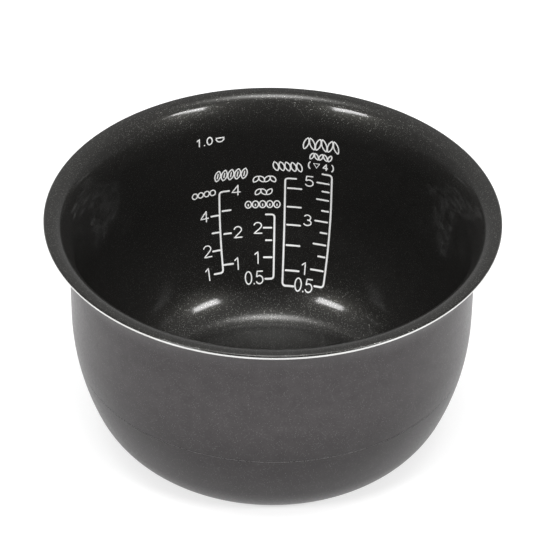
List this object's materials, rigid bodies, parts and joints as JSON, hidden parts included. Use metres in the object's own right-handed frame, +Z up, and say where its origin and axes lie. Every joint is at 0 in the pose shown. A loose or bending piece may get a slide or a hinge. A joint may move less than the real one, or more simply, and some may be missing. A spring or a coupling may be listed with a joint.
{
  "type": "rice cooker inner pan",
  "caption": "Round removable cooking pan for a small rice cooker, with a flared lip, rounded lower wall, dark non-stick inside and printed fill scales.",
  "frame": {"origin": "centre of the flat base, on the surface the pan stands on", "axes": "+Z up along the pan's axis, +Y towards the wall that carries the printed scales, +X to the right as seen from the front, looking towards +Y"},
  "size_m": [0.2, 0.2, 0.1095],
  "materials": {
    "bare_aluminium": "turned and lightly brushed bare edge and base",
    "nonstick_black": "satin black non-stick coating with fine metallic flecks",
    "paint_grey": "satin dark grey metallic paint",
    "paint_dark_grey": "satin dark grey metallic paint, a little darker",
    "ink_light_grey": "matt light grey print"
  },
  "bodies": {
    "root": {"pan_body": "bare_aluminium", "nonstick_lining": "nonstick_black", "upper_coating": "paint_grey", "lower_coating": "paint_dark_grey", "two_sided_scale_bracket": "ink_light_grey", "two_sided_scale_tick_right_3": "ink_light_grey", "two_sided_scale_tick_right_2": "ink_light_grey", "two_sided_scale_tick_left_3": "ink_light_grey", "two_sided_scale_tick_left_2": "ink_light_grey", "two_sided_scale_numeral_right_4": "ink_light_grey", "two_sided_scale_numeral_right_2": "ink_light_grey", "two_sided_scale_numeral_right_1": "ink_light_grey", "two_sided_scale_numeral_left_4": "ink_light_grey", "two_sided_scale_numeral_left_2": "ink_light_grey", "two_sided_scale_numeral_left_1": "ink_light_grey", "short_scale_bracket": "ink_light_grey", "short_scale_tick_2": "ink_light_grey", "short_scale_tick_1_5": "ink_light_grey", "short_scale_tick_1": "ink_light_grey", "short_scale_numeral_2": "ink_light_grey", "short_scale_numeral_1": "ink_light_grey", "short_scale_numeral_half_0": "ink_light_grey", "short_scale_numeral_half_point": "ink_light_grey", "short_scale_numeral_half_5": "ink_light_grey", "plain_scale_bracket": "ink_light_grey", "plain_scale_tick_5": "ink_light_grey", "plain_scale_tick_4": "ink_light_grey", "plain_scale_tick_3": "ink_light_grey", "plain_scale_tick_2": "ink_light_grey", "plain_scale_tick_1": "ink_light_grey", "long_scale_bracket": "ink_light_grey", "long_scale_tick_5": "ink_light_grey", "long_scale_tick_4_5": "ink_light_grey", "long_scale_tick_4": "ink_light_grey", "long_scale_tick_3_5": "ink_light_grey", "long_scale_tick_3": "ink_light_grey", "long_scale_tick_2_5": "ink_light_grey", "long_scale_tick_2": "ink_light_grey", "long_scale_tick_1_5": "ink_light_grey", "long_scale_tick_1": "ink_light_grey", "long_scale_numeral_5": "ink_light_grey", "long_scale_numeral_3": "ink_light_grey", "long_scale_numeral_1": "ink_light_grey", "long_scale_numeral_half_0": "ink_light_grey", "long_scale_numeral_half_point": "ink_light_grey", "long_scale_numeral_half_5": "ink_light_grey"}
  },
  "joints": []
}
